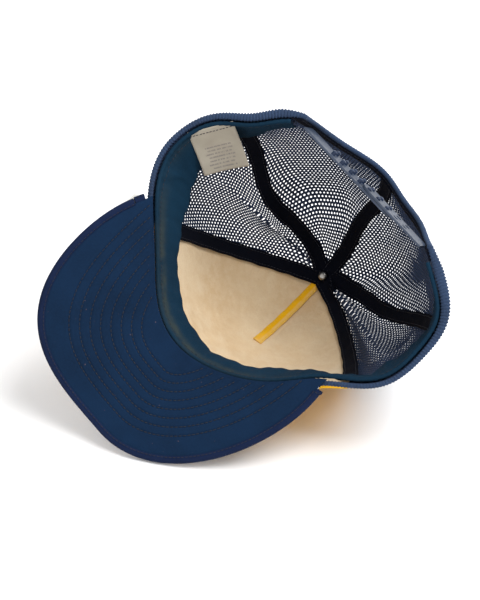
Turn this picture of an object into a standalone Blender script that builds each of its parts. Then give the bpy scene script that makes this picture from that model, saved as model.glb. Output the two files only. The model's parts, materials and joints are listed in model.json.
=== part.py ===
"""Five panel trucker cap lying upside down on its front: foam front, mesh sides and back,
curved peak, cotton sweatband, snap closure.  Metres, +Z up, built in the cap's own frame
(+X wearer's left, -Y forward, +Z towards the crown button) and then tilted to its rest."""
import math
import bmesh
import bpy
import numpy as np
from mathutils import Euler, Matrix, Vector

MM = 0.001

# ---- crown shell -------------------------------------------------------------------
RIM_HALF_WIDTH = 103.0 * MM      # rim half width, side to side
RIM_FRONT = 80.0 * MM            # rim centre to the front of the rim
RIM_BACK = 82.0 * MM             # rim centre to the back of the rim
RIM_FLATTEN = 0.08               # how far the rim is drawn in beside the peak
RIM_PUSHES = ((8.0, 22.0, 8.0 * MM), (-62.0, 26.0, -12.5 * MM), (-122.0, 14.0, 6.0 * MM))
CROWN_HEIGHT = 145.0 * MM
PROFILE_FRONT = (2.2, 0.55)      # (power, root) of the wall line, front centre
PROFILE_SIDE = (1.15, 0.62)      # at the sides, where the soft mesh falls in
PROFILE_BACK = (2.4, 0.60)       # at the back
TOP_HOLE = 7.0 * MM              # panels stop this far from the button post

# ---- seams, in degrees of rim parameter from the front centre ------------------------
SEAM_FRONT_LEFT = 52.0
SEAM_FRONT_RIGHT = -68.0
SEAM_SIDE_LEFT = 117.0
SEAM_SIDE_RIGHT = -118.0
ARCH_HALF = 33.0                 # half angle of the opening over the closure
ARCH_HEIGHT = 52.0 * MM
BRIM_END_LEFT = 64.0             # where the peak leaves the rim at the wearer's left
BRIM_END_RIGHT = 62.0

# ---- cloth, foam and tape ------------------------------------------------------------
FOAM_THICK = 2.4 * MM
COVER_THICK = 0.7 * MM
MESH_THICK = 0.9 * MM
TAPE_WIDTH = 10.5 * MM
TAPE_THICK = 0.8 * MM
DART_WIDTH = 6.0 * MM
SWEAT_WIDTH = 30.0 * MM
SWEAT_THICK = 1.2 * MM
HEM_WIDTH = 9.0 * MM
LAYER_GAP = 0.3 * MM
SEAM_GAP = 0.35                  # degrees left between two panels

# ---- peak --------------------------------------------------------------------------
BRIM_LEFT = 97.5 * MM            # half width at the wearer's left
BRIM_RIGHT = 78.5 * MM           # half width at the right, where the peak bears on the floor
BRIM_REACH = 156.5 * MM          # from the cap centre line to the tip
BRIM_ROOT_Y = -32.0 * MM         # centre of the outline's arc, ahead of the cap centre line
BRIM_SQUARE_LEFT = 3.3           # corner fullness of the outline
BRIM_SQUARE_RIGHT = 2.0
BRIM_STEP = 6.0 * MM             # straight start of the outline at each side
BRIM_DROP = 18.0 * MM            # how far the left side of the peak bends down
BRIM_BELOW = 3.2 * MM            # peak board under the rim line
BOARD_THICK = 1.8 * MM
BRIM_CLOTH = 0.6 * MM
BINDING_RADIUS = 2.2 * MM

# ---- closure -------------------------------------------------------------------------
STRAP_HEIGHT = 18.0 * MM
STRAP_THICK = 1.3 * MM
STRAP_LOW = 3.0 * MM             # rim to the lower edge of the straps
STRAP_Y = 65.0 * MM
STRAP_HINGE_X = 52.0 * MM
PEG_STRAP_LENGTH = 79.0 * MM
HOLE_STRAP_LENGTH = 53.5 * MM
PEG_PITCH = 8.0 * MM
PEG_ROWS = (-4.0 * MM, 4.0 * MM)
PEG_COUNT = 7
PAIRS_CLOSED = 3                 # pairs of pegs that sit in holes
PEG_RADIUS = 1.5 * MM
PEG_LENGTH = 3.4 * MM
HOLE_RADIUS = 2.0 * MM
FIRST_PEG = 24.0 * MM            # hinge to the first pair of pegs
HOLE_COUNT = 5

# ---- label, button ---------------------------------------------------------------------
LABEL_WIDTH = 30.0 * MM
LABEL_LENGTH = 36.0 * MM
LABEL_THICK = 0.5 * MM
LABEL_T = 107.0                  # rim parameter of the middle of the label
LABEL_LEAN = 42.0                # degrees between the label and the crown axis
BUTTON_RADIUS = 8.0 * MM
BUTTON_HEIGHT = 4.0 * MM
RIVET_RADIUS = 4.6 * MM
POST_RADIUS = 2.0 * MM

# ---- how the cap rests ---------------------------------------------------------------
REST_UP = (0.4890, 0.6295, -0.6038)  # floor upward direction, in the cap frame
REST_FLOOR = -108.12 * MM        # floor level along that direction

CLEAR = 0.3 * MM


def clear_scene():
    for obj in list(bpy.data.objects):
        bpy.data.objects.remove(obj, do_unlink=True)


def material(name, colour, roughness, metallic=0.0):
    mat = bpy.data.materials.new(name)
    mat.use_nodes = True
    bsdf = mat.node_tree.nodes["Principled BSDF"]
    bsdf.inputs["Base Color"].default_value = (*colour, 1.0)
    bsdf.inputs["Roughness"].default_value = roughness
    bsdf.inputs["Metallic"].default_value = metallic
    mat.diffuse_color = (*colour, 1.0)
    return mat


def round_rim(t):
    """Plan of the rim before the soft cap slumps; t is 0 in front, + to the wearer's left."""
    depth = RIM_FRONT if math.cos(t) > 0 else RIM_BACK
    draw = 1.0 - RIM_FLATTEN * math.sin(2 * t) ** 2 * (math.cos(t) > 0)
    return RIM_HALF_WIDTH * math.sin(t) * draw, -depth * math.cos(t) * draw


def rim_push(t):
    """How far the rim of the lying cap is pushed out (+) or in (-) at a rim parameter."""
    deg = math.degrees(t)
    return sum(far * math.exp(-((deg - at) / wide) ** 2) for at, wide, far in RIM_PUSHES)


def rim_xy(t):
    x, y = round_rim(t)
    push = rim_push(t)
    return x + push * math.sin(t), y - push * math.cos(t)


def profile(t):
    front = max(0.0, math.cos(t))
    back = max(0.0, -math.cos(t)) ** 1.3
    side = 1.0 - front - back
    power = front * PROFILE_FRONT[0] + back * PROFILE_BACK[0] + side * PROFILE_SIDE[0]
    root = front * PROFILE_FRONT[1] + back * PROFILE_BACK[1] + side * PROFILE_SIDE[1]
    return power, root


def wall(t, lift):
    """Inner face of the crown; lift runs from 0 at the rim to 1 at the top."""
    power, root = profile(t)
    high = math.sin(lift * math.pi / 2)
    shrink = max(0.0, 1.0 - high ** power) ** root
    x, y = round_rim(t)
    push = rim_push(t) * (1.0 - high) ** 2
    return Vector((x * shrink + push * math.sin(t), y * shrink - push * math.cos(t), CROWN_HEIGHT * high))


def lift_at_height(z):
    return math.asin(min(1.0, max(0.0, z / CROWN_HEIGHT))) * 2 / math.pi


def lift_at_radius(t, radius):
    power, root = profile(t)
    x, y = round_rim(t)
    shrink = radius / math.hypot(x, y)
    high = (1.0 - shrink ** (1.0 / root)) ** (1.0 / power)
    return math.asin(high) * 2 / math.pi


def wall_normal(t, lift):
    step = 0.002
    low = max(0.004, lift)
    across = wall(t + step, low) - wall(t - step, low)
    up = wall(t, low + step) - wall(t, low - step)
    return across.cross(up).normalized()


def shell(t, lift, off):
    """Point off metres outside the inner face of the crown, pressed flat where it rests."""
    base = wall(t, lift)
    normal = wall_normal(t, lift)
    skin = base + normal * (FOAM_THICK + LAYER_GAP + COVER_THICK)
    up = Vector(REST_UP).normalized()
    return base + normal * off + up * max(0.0, REST_FLOOR - skin.dot(up))


def arch_low(t):
    """Height of the lower edge of the crown at t, in metres; zero away from the arch."""
    away = (math.pi - abs(t)) / math.radians(ARCH_HALF)
    if away >= 1.0:
        return 0.0
    return ARCH_HEIGHT * math.sqrt(1.0 - away ** 2)


def loft(name, near, far, mat, coll):
    """Closed solid between two equal grids of points."""
    rows = len(near)
    cols = len(near[0])
    size = rows * cols
    verts = [p for row in near for p in row] + [p for row in far for p in row]
    faces = []
    for i in range(rows - 1):
        for j in range(cols - 1):
            a = i * cols + j
            for tri in ((a, a + 1, a + cols + 1), (a, a + cols + 1, a + cols)):
                faces.append(tri[::-1])
                faces.append(tuple(size + k for k in tri))
    loop = [j for j in range(cols)]
    loop += [i * cols + cols - 1 for i in range(1, rows)]
    loop += [(rows - 1) * cols + j for j in range(cols - 2, -1, -1)]
    loop += [i * cols for i in range(rows - 2, 0, -1)]
    for k, a in enumerate(loop):
        b = loop[(k + 1) % len(loop)]
        faces.append((a, b, size + b, size + a))
    return solid(name, verts, faces, mat, coll)


def solid(name, verts, faces, mat, coll):
    mesh = bpy.data.meshes.new(name)
    mesh.from_pydata([tuple(v) for v in verts], [], faces)
    mesh.update()
    mesh.materials.append(mat)
    obj = bpy.data.objects.new(name, mesh)
    coll.objects.link(obj)
    if signed_volume(mesh) < 0:
        mesh.flip_normals()
    for poly in mesh.polygons:
        poly.use_smooth = True
    return obj


def sheet_object(name, verts, cols, mat, coll):
    """Open sheet from a list of grid points, row after row, its faces towards +Z or +Y."""
    bm = bmesh.new()
    made = [bm.verts.new(v) for v in verts]
    for i in range(len(verts) // cols - 1):
        for j in range(cols - 1):
            a = i * cols + j
            bm.faces.new((made[a], made[a + 1], made[a + cols + 1], made[a + cols]))
    bm.normal_update()
    facing = sum((f.normal for f in bm.faces), Vector())
    if facing.y + facing.z < 0:
        bmesh.ops.reverse_faces(bm, faces=bm.faces)
    mesh = bpy.data.meshes.new(name)
    bm.to_mesh(mesh)
    bm.free()
    mesh.materials.append(mat)
    mesh.shade_smooth()
    obj = bpy.data.objects.new(name, mesh)
    coll.objects.link(obj)
    return obj


def thicken(obj, thick, offset):
    shell_mod = obj.modifiers.new("thickness", "SOLIDIFY")
    shell_mod.thickness = thick
    shell_mod.offset = offset
    shell_mod.use_even_offset = True


def signed_volume(mesh):
    total = 0.0
    for poly in mesh.polygons:
        pts = [mesh.vertices[i].co for i in poly.vertices]
        for k in range(1, len(pts) - 1):
            total += pts[0].dot(pts[k].cross(pts[k + 1]))
    return total / 6.0


def even(t0, t1, cols):
    return [t0 + (t1 - t0) * j / cols for j in range(cols + 1)]


def crown_piece(name, angles, low, high, off0, off1, rows, mat, coll):
    """Curved sheet of the crown over the rim parameters given, between two lift functions."""
    near = []
    far = []
    for i in range(rows + 1):
        inner = []
        outer = []
        for angle in angles:
            t = math.radians(angle)
            lo = low(t)
            lift = lo + (high(t) - lo) * i / rows
            inner.append(shell(t, lift, off0))
            outer.append(shell(t, lift, off1))
        near.append(inner)
        far.append(outer)
    return loft(name, near, far, mat, coll)


def rim_lift(t):
    return lift_at_height(1.2 * MM + arch_low(t))


def top_lift(t):
    return lift_at_radius(t, TOP_HOLE)


def make_front(mats, coll):
    span = even(SEAM_FRONT_RIGHT + SEAM_GAP, SEAM_FRONT_LEFT - SEAM_GAP, 18)
    crown_piece("front_foam_lining", span, rim_lift, top_lift, 0.0, FOAM_THICK, 10,
                mats["foam"], coll)
    inner = FOAM_THICK + LAYER_GAP
    crown_piece("front_cover_fabric", span, rim_lift, top_lift, inner, inner + COVER_THICK,
                10, mats["gold"], coll)


def make_mesh_panels(mats, coll):
    arch = [180.0 - ARCH_HALF * math.cos(math.radians(b)) for b in even(3.0, 88.5, 8)]
    left = even(SEAM_SIDE_LEFT + SEAM_GAP, 180.0 - ARCH_HALF, 5) + arch
    right = even(-SEAM_SIDE_RIGHT + SEAM_GAP, 180.0 - ARCH_HALF, 5) + arch
    spans = {
        "side_mesh_left": even(SEAM_FRONT_LEFT + SEAM_GAP, SEAM_SIDE_LEFT - SEAM_GAP, 10),
        "back_mesh_left": left,
        "back_mesh_right": [-a for a in right[::-1]],
        "side_mesh_right": even(SEAM_SIDE_RIGHT + SEAM_GAP, SEAM_FRONT_RIGHT - SEAM_GAP, 8),
    }
    for name, angles in spans.items():
        crown_piece(name, angles, rim_lift, top_lift, 0.0, MESH_THICK, 10, mats["mesh"], coll)


def tape_along(name, t_deg, low_z, end_radius, width, off0, mat, coll, length=None):
    """Flat tape lying inside the crown along the line t = constant."""
    t = math.radians(t_deg)
    low = lift_at_height(low_z)
    high = lift_at_radius(t, end_radius)
    if length is not None:
        low = high - length
    near = []
    far = []
    rows = 12
    for i in range(rows + 1):
        lift = low + (high - low) * i / rows
        mid = wall(t, lift)
        radius = math.hypot(mid.x, mid.y)
        half = min(width / 2, radius * 0.30)
        around = (wall(t + 0.01, lift) - mid).length / 0.01
        inner = []
        outer = []
        for j in range(3):
            tt = t + (j - 1) * half / around
            inner.append(shell(tt, lift, off0))
            outer.append(shell(tt, lift, off0 + TAPE_THICK))
        near.append(inner)
        far.append(outer)
    return loft(name, near, far, mat, coll)


def make_tapes(mats, coll):
    off = -(TAPE_THICK + 2 * LAYER_GAP)
    seams = {
        "seam_tape_front_left": SEAM_FRONT_LEFT,
        "seam_tape_front_right": SEAM_FRONT_RIGHT,
        "seam_tape_side_left": SEAM_SIDE_LEFT,
        "seam_tape_side_right": SEAM_SIDE_RIGHT,
    }
    for name, t in seams.items():
        tape_along(name, t, 3.4 * MM, 8.5 * MM, TAPE_WIDTH, off, mats["navy"], coll)
    back_low = ARCH_HEIGHT + 11.0 * MM
    tape_along("seam_tape_back", 180.0, back_low, 8.5 * MM, TAPE_WIDTH, off, mats["navy"], coll)
    tape_along("front_dart_tape", -6.0, 0.0, 8.5 * MM, DART_WIDTH, off, mats["gold"], coll,
               length=0.46)


def make_sweatband(mats, coll):
    outer = -(TAPE_THICK + 3 * LAYER_GAP)
    inner = outer - SWEAT_THICK
    end = 180.0 - ARCH_HALF - 8.0
    high = lift_at_height(SWEAT_WIDTH)

    def low(t):
        return lift_at_height(2.7 * MM - inner * wall_normal(t, 0.03).z)

    crown_piece("sweatband", even(-end, end, 48), low, lambda t: high, inner, outer, 2,
                mats["teal"], coll)


def curve_mesh(name, curve, mat, coll):
    """Mesh object from a curve: caps welded, faces out, joined to the collection."""
    guide = bpy.data.objects.new(name + "_curve", curve)
    coll.objects.link(guide)
    bpy.context.view_layer.update()
    seen = guide.evaluated_get(bpy.context.evaluated_depsgraph_get())
    mesh = bpy.data.meshes.new_from_object(seen)
    bpy.data.objects.remove(guide, do_unlink=True)
    bm = bmesh.new()
    bm.from_mesh(mesh)
    bmesh.ops.remove_doubles(bm, verts=bm.verts, dist=0.01 * MM)
    bmesh.ops.recalc_face_normals(bm, faces=bm.faces)
    bm.to_mesh(mesh)
    bm.free()
    mesh.materials.clear()
    mesh.materials.append(mat)
    obj = bpy.data.objects.new(name, mesh)
    coll.objects.link(obj)
    return obj


def cord(name, path, radius, mat, coll):
    """Closed round cord along a path, from a bevelled curve."""
    curve = bpy.data.curves.new(name, "CURVE")
    curve.dimensions = "3D"
    curve.bevel_depth = radius
    curve.bevel_resolution = 2
    curve.use_fill_caps = True
    spline = curve.splines.new("POLY")
    spline.points.add(len(path) - 1)
    for point, place in zip(spline.points, path):
        point.co = (*place, 1.0)
    obj = curve_mesh(name, curve, mat, coll)
    obj.data.shade_smooth()
    return obj


def make_sweat_roll(mats, coll):
    """Rolled lower edge of the sweatband, just under the band itself."""
    end = 180.0 - ARCH_HALF - 8.0
    radius = 1.0 * MM
    off = -(TAPE_THICK + 3 * LAYER_GAP + SWEAT_THICK / 2)
    path = []
    for j in range(49):
        t = math.radians(-end + 2 * end * j / 48)
        normal = wall_normal(t, 0.0)
        flat = Vector((normal.x, normal.y, 0.0)).normalized()
        path.append(wall(t, 0.0) + flat * off + Vector((0.0, 0.0, 1.2 * MM)))
    cord("sweatband_edge_roll", path, radius, mats["teal"], coll)


def make_hems(mats, coll):
    start = MESH_THICK + LAYER_GAP
    end = 180.0 - ARCH_HALF - 1.0
    low = lift_at_height(1.2 * MM)
    high = lift_at_height(HEM_WIDTH)
    spans = {
        "rim_hem_left": (SEAM_FRONT_LEFT + 2.2, end),
        "rim_hem_right": (-end, SEAM_FRONT_RIGHT - 2.2),
    }
    for name, (a, b) in spans.items():
        crown_piece(name, even(a, b, 20), lambda t: low, lambda t: high, start,
                    start + MESH_THICK, 1, mats["mesh"], coll)


def make_arch_binding(mats, coll):
    """Cotton binding inside the edge of the arch over the closure."""
    width = 8.0 * MM
    off = -(TAPE_THICK + 2 * LAYER_GAP)
    near = []
    far = []
    cols = 28
    for i in range(3):
        inner = []
        outer = []
        for j in range(cols + 1):
            ang = math.pi * (0.04 + 0.92 * j / cols)
            grow = 1.0 + (i * width / 2) / ARCH_HEIGHT
            away = math.radians(ARCH_HALF) * math.cos(ang) * (1.0 + i * 0.5 * width / (50 * MM))
            z = 1.2 * MM + ARCH_HEIGHT * math.sin(ang) * grow
            lift = lift_at_height(z)
            inner.append(shell(math.pi - away, lift, off))
            outer.append(shell(math.pi - away, lift, off + TAPE_THICK))
        near.append(inner)
        far.append(outer)
    loft("arch_binding", near, far, mats["navy"], coll)


def brim_point(u, v, inset):
    """Mid surface of the peak: u across (-1..1), v from the rim (0) to the edge (1)."""
    end = BRIM_END_LEFT if u > 0 else BRIM_END_RIGHT
    half = BRIM_LEFT if u > 0 else BRIM_RIGHT
    square = BRIM_SQUARE_LEFT if u > 0 else BRIM_SQUARE_RIGHT
    drop = BRIM_DROP if u > 0 else 0.0
    t = math.radians(end) * u * (1.0 - inset / (55.0 * MM))
    rx, ry = rim_xy(t)
    normal = wall_normal(t, 0.0)
    flat = Vector((normal.x, normal.y, 0.0)).normalized()
    root = Vector((rx, ry, 0.0)) - flat * (0.6 * MM)
    ang = u * math.pi / 2
    side = math.copysign(abs(math.sin(ang)) ** (2.0 / square), ang)
    fore = abs(math.cos(ang)) ** (2.0 / square)
    reach = BRIM_REACH + BRIM_ROOT_Y - 2 * inset - BRIM_STEP
    tip = Vector((side * (half - inset), BRIM_ROOT_Y - fore * reach - BRIM_STEP - inset, 0.0))
    point = root.lerp(tip, v)
    bend = (point.x / half) ** 2
    away = (point - root).length / (BRIM_REACH - RIM_FRONT)
    point.z = -drop * bend * away ** 0.85 - BRIM_BELOW
    return point


def brim_normal(u, v, inset):
    step = 0.003
    uu = min(0.995, max(-0.995, u))
    vv = min(0.99, max(0.01, v))
    across = brim_point(uu + step, vv, inset) - brim_point(uu - step, vv, inset)
    along = brim_point(uu, vv + step, inset) - brim_point(uu, vv - step, inset)
    n = across.cross(along).normalized()
    return n if n.z > 0 else -n


def brim_sheet(name, off, thick, mat, coll):
    """One layer of the peak: an open sheet at a height over the mid surface, thickened."""
    inset = BINDING_RADIUS + 0.8 * MM
    cols = 26
    rows = 5
    verts = []
    for i in range(rows + 1):
        for j in range(cols + 1):
            u = math.sin(math.pi / 2 * (2 * j / cols - 1))
            verts.append(brim_point(u, i / rows, inset) + brim_normal(u, i / rows, inset) * off)
    obj = sheet_object(name, verts, cols + 1, mat, coll)
    thicken(obj, thick, 0.0)
    return obj


def make_brim(mats, coll):
    brim_sheet("brim_board", 0.0, BOARD_THICK, mats["board"], coll)
    mid = BOARD_THICK / 2 + LAYER_GAP + BRIM_CLOTH / 2
    brim_sheet("brim_top_fabric", mid, BRIM_CLOTH, mats["navy"], coll)
    brim_sheet("brim_under_fabric", -mid, BRIM_CLOTH, mats["navy"], coll)
    cols = 44
    path = []
    for j in range(cols + 1):
        path.append(brim_point(math.sin(math.pi / 2 * (2 * j / cols - 1)), 1.0, 0.0))
    path += [brim_point(1.0, v, 0.0) for v in (0.75, 0.5, 0.3)]
    cord("brim_edge_binding", path, BINDING_RADIUS, mats["navy"], coll)


def turned(name, outline, mat, coll, steps=16):
    """Turned solid about the crown axis; the outline runs from its top to its bottom."""
    mesh = bpy.data.meshes.new(name)
    verts = [(radius, 0.0, z) for radius, z in outline]
    mesh.from_pydata(verts, [(k, k + 1) for k in range(len(verts) - 1)], [])
    mesh.materials.append(mat)
    obj = bpy.data.objects.new(name, mesh)
    coll.objects.link(obj)
    screw = obj.modifiers.new("turn", "SCREW")
    screw.axis = "Z"
    screw.steps = steps
    screw.render_steps = steps
    screw.use_merge_vertices = True
    screw.merge_threshold = 0.01 * MM
    screw.use_smooth_shade = True
    return obj


def make_button(mats, coll):
    base = CROWN_HEIGHT - 1.8 * MM
    lip = CROWN_HEIGHT + 4.2 * MM
    neck = TOP_HOLE - 0.8 * MM
    outline = [(0.0, lip + BUTTON_HEIGHT)]
    for k in range(1, 7):
        ang = math.pi / 2 * (1 - k / 6)
        outline.append((BUTTON_RADIUS * math.cos(ang), lip + BUTTON_HEIGHT * math.sin(ang)))
    outline += [(neck, lip - 0.2 * MM), (neck, base), (0.0, base)]
    turned("crown_button", outline, mats["navy"], coll)
    low = base - 4.6 * MM
    rivet = [(0.0, base - CLEAR), (POST_RADIUS, base - CLEAR), (POST_RADIUS, low + 0.6 * MM),
             (RIVET_RADIUS, low + 0.5 * MM), (RIVET_RADIUS, low), (3.9 * MM, low - 0.9 * MM),
             (2.6 * MM, low - 1.6 * MM), (0.8 * MM, low - 1.9 * MM), (0.0, low - 2.0 * MM)]
    turned("button_rivet", rivet, mats["metal"], coll)


def strap_body(name, length, sign, y, mat, coll):
    """Flat plastic strap from its hinge towards the other side, rounded at the free end."""
    steps = 10
    radius = STRAP_HEIGHT / 2
    outline = [(0.0, 0.0), (0.0, STRAP_HEIGHT)]
    for k in range(steps + 1):
        ang = math.pi / 2 - math.pi * k / steps
        outline.append((length - radius + radius * math.cos(ang), radius + radius * math.sin(ang)))
    curve = bpy.data.curves.new(name, "CURVE")
    curve.dimensions = "2D"
    curve.fill_mode = "BOTH"
    curve.extrude = STRAP_THICK / 2
    spline = curve.splines.new("POLY")
    spline.points.add(len(outline) - 1)
    spline.use_cyclic_u = True
    for point, (a, b) in zip(spline.points, outline):
        point.co = (sign * a, b, 0.0, 1.0)
    obj = curve_mesh(name, curve, mat, coll)
    upright = Matrix.Translation((0.0, y + STRAP_THICK / 2, 0.0)) @ Matrix.Rotation(math.pi / 2, 4, "X")
    obj.data.transform(upright)
    return obj


def bars(name, radius, length, places, coll, sides=10):
    """Round bars along +Y, one from each place, as one tool object."""
    bm = bmesh.new()
    for place in places:
        middle = Matrix.Translation(place + Vector((0.0, length / 2, 0.0)))
        bmesh.ops.create_cone(bm, cap_ends=True, segments=sides, radius1=radius, radius2=radius,
                              depth=length, matrix=middle @ Matrix.Rotation(math.pi / 2, 4, "X"))
    mesh = bpy.data.meshes.new(name)
    bm.to_mesh(mesh)
    bm.free()
    obj = bpy.data.objects.new(name, mesh)
    coll.objects.link(obj)
    obj.hide_render = True
    obj.display_type = "WIRE"
    return obj


def boolean(obj, tool, operation):
    mod = obj.modifiers.new(tool.name, "BOOLEAN")
    mod.operation = operation
    mod.solver = "EXACT"
    mod.object = tool


def make_straps(mats, coll, tools):
    """Peg strap from the wearer's left, hole strap from the right, hole strap outside."""
    peg_y = -STRAP_THICK - CLEAR / 2
    hole_y = CLEAR / 2
    root = 0.4 * MM                # how deep a peg starts inside the strap
    past = 1.0 * MM                # how far a hole cutter passes each face
    pegs = strap_body("snap_strap_pegs", PEG_STRAP_LENGTH, -1, peg_y, mats["plastic"], coll)
    holes = strap_body("snap_strap_holes", HOLE_STRAP_LENGTH, 1, hole_y, mats["plastic"], coll)
    first_hole = 2 * STRAP_HINGE_X - FIRST_PEG - (PEG_COUNT - PAIRS_CLOSED) * PEG_PITCH
    peg_places = []
    hole_places = []
    for row in PEG_ROWS:
        z = STRAP_HEIGHT / 2 + row
        for k in range(PEG_COUNT):
            peg_places.append(Vector((-FIRST_PEG - k * PEG_PITCH, peg_y + root, z)))
        for k in range(HOLE_COUNT):
            hole_places.append(Vector((first_hole - k * PEG_PITCH, hole_y - past, z)))
    peg_tool = bars("peg_tool", PEG_RADIUS, STRAP_THICK - root + PEG_LENGTH, peg_places, tools)
    hole_tool = bars("hole_tool", HOLE_RADIUS, STRAP_THICK + 2 * past, hole_places, tools)
    boolean(pegs, peg_tool, "UNION")
    boolean(holes, hole_tool, "DIFFERENCE")
    for obj, tool, x in ((pegs, peg_tool, STRAP_HINGE_X), (holes, hole_tool, -STRAP_HINGE_X)):
        obj.location = (x, STRAP_Y, STRAP_LOW)
        tool.location = obj.location


def make_label(mats, coll):
    """Care label hanging from a stitched edge just inside the sweatband, origin on that edge."""
    t = math.radians(LABEL_T)
    normal = wall_normal(t, 0.0)
    flat = Vector((normal.x, normal.y, 0.0)).normalized()
    inset = TAPE_THICK + 3 * LAYER_GAP + SWEAT_THICK + 3.6 * MM
    rows = 6
    half = LABEL_WIDTH / 2
    verts = []
    for i in range(rows + 1):
        curl = 2.2 * MM * (i / rows) ** 2
        verts += [Vector((side * half, curl, LABEL_LENGTH * i / rows)) for side in (-1.0, 1.0)]
    obj = sheet_object("care_label", verts, 2, mats["satin"], coll)
    thicken(obj, LABEL_THICK, 1.0)
    obj.location = wall(t, lift_at_height(4.0 * MM)) - flat * inset
    turn = math.atan2(-flat.x, flat.y) + math.pi
    obj.rotation_euler = Euler((-math.radians(LABEL_LEAN), 0.0, turn), "XYZ")
    return obj


def settle(coll, tools):
    """Tilt everything to its rest on the floor, peak towards -Y, centred over the origin."""
    pose = bpy.data.objects.new("cap_pose", None)
    tools.objects.link(pose)
    up = Vector(REST_UP).normalized()
    back = (Vector((0.0, 1.0, 0.0)) - up * up.y).normalized()
    turn = Matrix((back.cross(up), back, up))
    pose.rotation_euler = turn.to_euler()
    turn = pose.rotation_euler.to_matrix()
    bpy.context.view_layer.update()
    graph = bpy.context.evaluated_depsgraph_get()
    points = []
    for obj in coll.objects:
        seen = obj.evaluated_get(graph)
        points += [tuple(turn @ (obj.matrix_world @ v.co)) for v in seen.data.vertices]
    cloud = np.array(points)
    low = cloud.min(axis=0)
    high = cloud.max(axis=0)
    pose.location = (-(low[0] + high[0]) / 2, -(low[1] + high[1]) / 2, -low[2])
    for obj in list(coll.objects) + [o for o in tools.objects if o is not pose]:
        obj.parent = pose


def main():
    clear_scene()
    coll = bpy.data.collections.new("trucker_cap")
    tools = bpy.data.collections.new("tools")
    bpy.context.scene.collection.children.link(coll)
    bpy.context.scene.collection.children.link(tools)
    mats = {
        "foam": material("cream_foam", (0.78, 0.60, 0.40), 0.95),
        "gold": material("gold_fabric", (0.85, 0.48, 0.03), 0.8),
        "mesh": material("navy_mesh", (0.03, 0.07, 0.15), 0.7),
        "navy": material("navy_cotton", (0.02, 0.05, 0.13), 0.85),
        "teal": material("teal_cotton", (0.02, 0.09, 0.16), 0.85),
        "board": material("peak_board", (0.75, 0.75, 0.72), 0.6),
        "plastic": material("smoke_plastic", (0.16, 0.22, 0.32), 0.35),
        "satin": material("cream_satin", (0.80, 0.76, 0.66), 0.5),
        "metal": material("nickel", (0.55, 0.53, 0.50), 0.35, 1.0),
    }
    make_front(mats, coll)
    make_mesh_panels(mats, coll)
    make_tapes(mats, coll)
    make_sweatband(mats, coll)
    make_sweat_roll(mats, coll)
    make_hems(mats, coll)
    make_arch_binding(mats, coll)
    make_brim(mats, coll)
    make_button(mats, coll)
    make_straps(mats, coll, tools)
    make_label(mats, coll)
    settle(coll, tools)


main()
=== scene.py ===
"""Looks for the trucker mesh cap: knitted mesh, foam, cotton, stitches and snaps in the CAD frame."""
import json
import math
import bmesh
import bpy
import numpy as np
from mathutils import Matrix, Vector

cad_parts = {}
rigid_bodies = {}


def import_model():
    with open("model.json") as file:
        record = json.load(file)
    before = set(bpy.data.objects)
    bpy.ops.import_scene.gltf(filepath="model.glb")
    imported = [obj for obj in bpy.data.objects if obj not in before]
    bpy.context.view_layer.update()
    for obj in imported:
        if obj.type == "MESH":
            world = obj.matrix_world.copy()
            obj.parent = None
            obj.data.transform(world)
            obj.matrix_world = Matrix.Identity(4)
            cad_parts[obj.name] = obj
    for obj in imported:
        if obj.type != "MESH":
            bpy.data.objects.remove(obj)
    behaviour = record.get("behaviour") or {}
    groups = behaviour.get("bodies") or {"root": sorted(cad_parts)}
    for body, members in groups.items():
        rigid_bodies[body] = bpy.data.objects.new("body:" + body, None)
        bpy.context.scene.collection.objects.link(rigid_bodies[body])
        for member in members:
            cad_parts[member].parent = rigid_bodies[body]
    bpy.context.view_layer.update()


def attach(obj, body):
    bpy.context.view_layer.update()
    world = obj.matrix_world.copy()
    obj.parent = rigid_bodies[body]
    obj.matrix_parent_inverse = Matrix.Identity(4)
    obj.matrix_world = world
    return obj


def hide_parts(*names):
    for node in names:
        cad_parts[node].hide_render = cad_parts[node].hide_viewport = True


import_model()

MM = 0.001
TAU = 2.0 * math.pi
rng = np.random.default_rng(7)

# ------------------------------------------------------------------ cap shape, as in the CAD
HALF_WIDTH, FRONT, BACK, FLATTEN, HEIGHT = 0.103, 0.080, 0.082, 0.08, 0.145
RIM_PUSHES = ((8.0, 22.0, 0.008), (-62.0, 26.0, -0.0125), (-122.0, 14.0, 0.006),
              (125.0, 13.0, -0.005), (128.0, 18.0, -0.0025))
PROFILE_FRONT, PROFILE_SIDE, PROFILE_BACK = (2.2, 0.55), (1.15, 0.62), (2.4, 0.60)
SEAMS = {"front_left": 52.0, "front_right": -68.0, "side_left": 117.0, "side_right": -118.0,
         "back": 180.0}
ARCH_HALF, ARCH_HEIGHT = 33.0, 0.052
SKIN = 0.0034
REST_UP = np.array((0.4890, 0.6295, -0.6038))
REST_UP = REST_UP / np.linalg.norm(REST_UP)
REST_FLOOR = -0.10812
CENTRE = np.array((0.014944, 0.02174, 0.10812))

back_axis = np.array((0.0, 1.0, 0.0)) - REST_UP * REST_UP[1]
back_axis = back_axis / np.linalg.norm(back_axis)
POSE = np.array((np.cross(back_axis, REST_UP), back_axis, REST_UP))


def world(points):
    return np.asarray(points) @ POSE.T + CENTRE


def unit(v):
    return v / np.maximum(np.linalg.norm(v, axis=-1, keepdims=True), 1e-12)


def round_rim(t):
    c = np.cos(t)
    depth = np.where(c > 0, FRONT, BACK)
    draw = 1.0 - FLATTEN * np.sin(2 * t) ** 2 * (c > 0)
    return HALF_WIDTH * np.sin(t) * draw, -depth * c * draw


def rim_push(t):
    """How far the rim of the lying cap is pushed out (+) or in (-) at a rim parameter."""
    deg = np.degrees(t)
    return sum(far * np.exp(-((deg - at) / wide) ** 2) for at, wide, far in RIM_PUSHES)


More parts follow.
